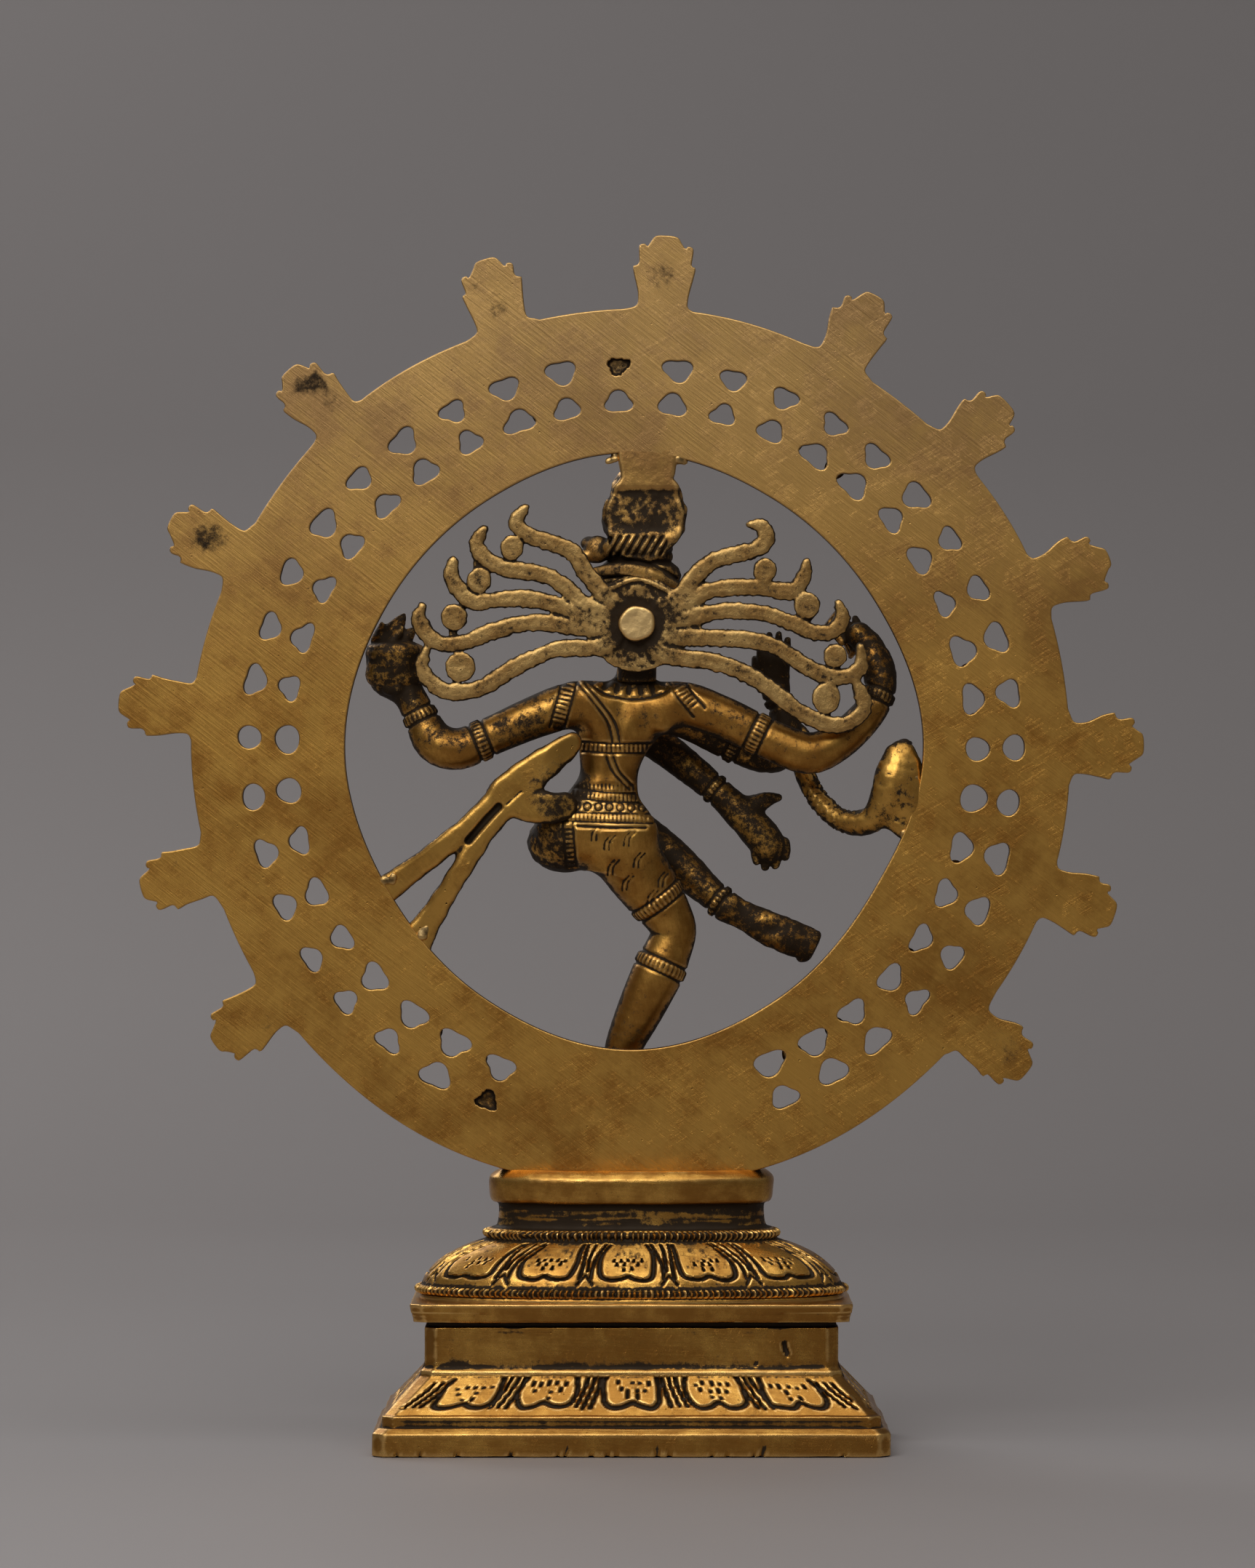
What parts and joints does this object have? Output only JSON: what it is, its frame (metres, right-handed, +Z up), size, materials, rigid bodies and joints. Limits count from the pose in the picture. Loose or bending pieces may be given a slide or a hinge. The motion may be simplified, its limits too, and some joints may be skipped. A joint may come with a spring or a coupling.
{
  "type": "nataraja statue",
  "caption": "Cast brass dancing figure inside a flat pierced ring of flames, standing on a stepped oblong lotus pedestal.",
  "frame": {"origin": "centre of the pedestal's foot, on the plane it stands on", "axes": "+Z up, -Y the way the dancer faces, +X to the dancer's left"},
  "size_m": [0.2851, 0.072, 0.3365],
  "materials": {
    "brass_pedestal": "worn, bright on edges and dark in recesses",
    "brass_ring": "satin, filed by hand",
    "brass_figure": "patinated, bright on high spots",
    "brass_fan": "sandy as cast, flats filed",
    "brass_braze": "dull braze",
    "brass_rivet": "hammered, satin",
    "steel": "plain"
  },
  "bodies": {
    "root": {"plinth": "brass_pedestal", "lotus_pedestal": "brass_pedestal", "pedestal_screws": "steel", "pedestal_washers": "steel", "flame_ring": "brass_ring", "ring_pins": "steel", "dwarf": "brass_figure", "foot_rivet": "brass_rivet", "dancer_body": "brass_figure", "raised_leg": "brass_figure", "rear_arm_left": "brass_figure", "rear_arm_right": "brass_figure", "front_arm_left": "brass_figure", "front_arm_right": "brass_figure", "flame_bowl": "brass_figure", "drum": "brass_figure", "cobra": "brass_figure", "sash": "brass_ring", "crown": "brass_figure", "hair_fan": "brass_fan", "fan_rivet": "brass_rivet", "braze_beads": "brass_braze"}
  },
  "joints": []
}
